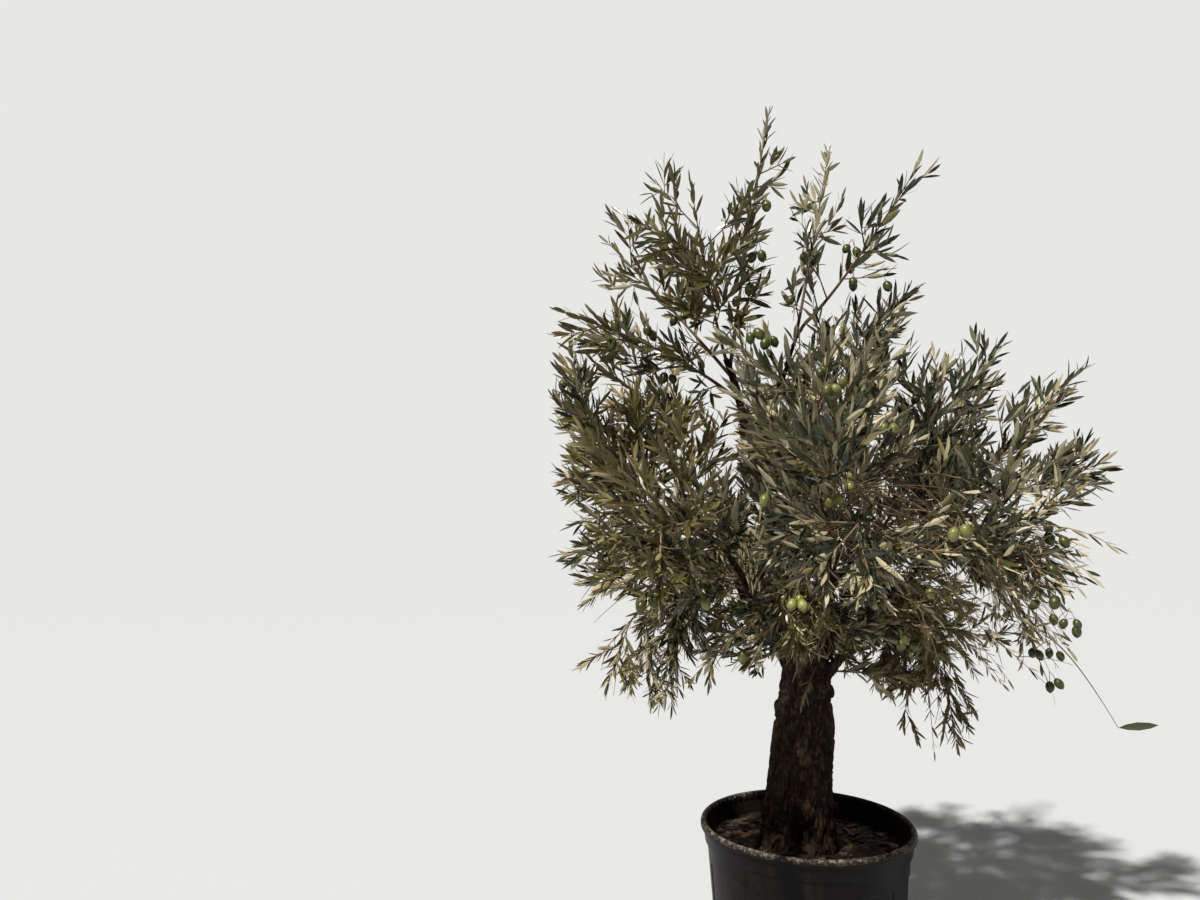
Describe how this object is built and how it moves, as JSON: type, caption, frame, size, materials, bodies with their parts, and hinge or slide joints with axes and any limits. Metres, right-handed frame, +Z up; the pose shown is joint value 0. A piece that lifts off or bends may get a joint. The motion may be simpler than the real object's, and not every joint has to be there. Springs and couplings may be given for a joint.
{
  "type": "potted olive tree",
  "caption": "Old olive tree with a short thick trunk, spreading boughs and open silvery-green foliage, standing in a round nursery pot filled with soil.",
  "frame": {"origin": "middle of the pot's flat underside, on the ground", "axes": "+Z is up; -Y is the side the picture was taken from; +X is to the right in the picture, the way the long right arm reaches"},
  "size_m": [1.9459, 1.7604, 3.0297],
  "materials": {
    "pot": "matt charcoal, dusty",
    "soil": "dry crumbly soil with bark and leaf litter",
    "bark": "rough furrowed grey-brown bark",
    "foliage": "leathery grey-green leaves, silvery beneath"
  },
  "bodies": {
    "root": {"pot": "pot", "soil": "soil", "trunk": "bark", "bough_leader": "bark", "bough_centre": "bark", "bough_right": "bark", "bough_left": "bark", "bough_front": "bark", "bough_back": "bark", "bough_front_right": "bark", "bough_front_left": "bark", "bough_back_left": "bark", "bough_back_right": "bark", "bough_upper_right": "bark", "foliage_left": "foliage", "foliage_left_low": "foliage", "foliage_front_left": "foliage", "foliage_front": "foliage", "foliage_front_right": "foliage", "foliage_right": "foliage", "foliage_right_low": "foliage", "foliage_back_right": "foliage", "foliage_back": "foliage", "foliage_back_left": "foliage", "foliage_front_low": "foliage", "foliage_back_low": "foliage", "foliage_centre": "foliage", "foliage_upper_front": "foliage", "foliage_upper_back": "foliage", "foliage_shoulder_left": "foliage", "foliage_shoulder_right": "foliage", "foliage_shoulder_far": "foliage", "foliage_right_arm": "foliage", "foliage_right_droop": "foliage", "foliage_far_left": "foliage", "foliage_upper_left": "foliage", "foliage_top_left": "foliage", "foliage_leader": "foliage", "foliage_top_middle": "foliage", "foliage_top_right": "foliage", "foliage_right_up": "foliage"}
  },
  "joints": []
}
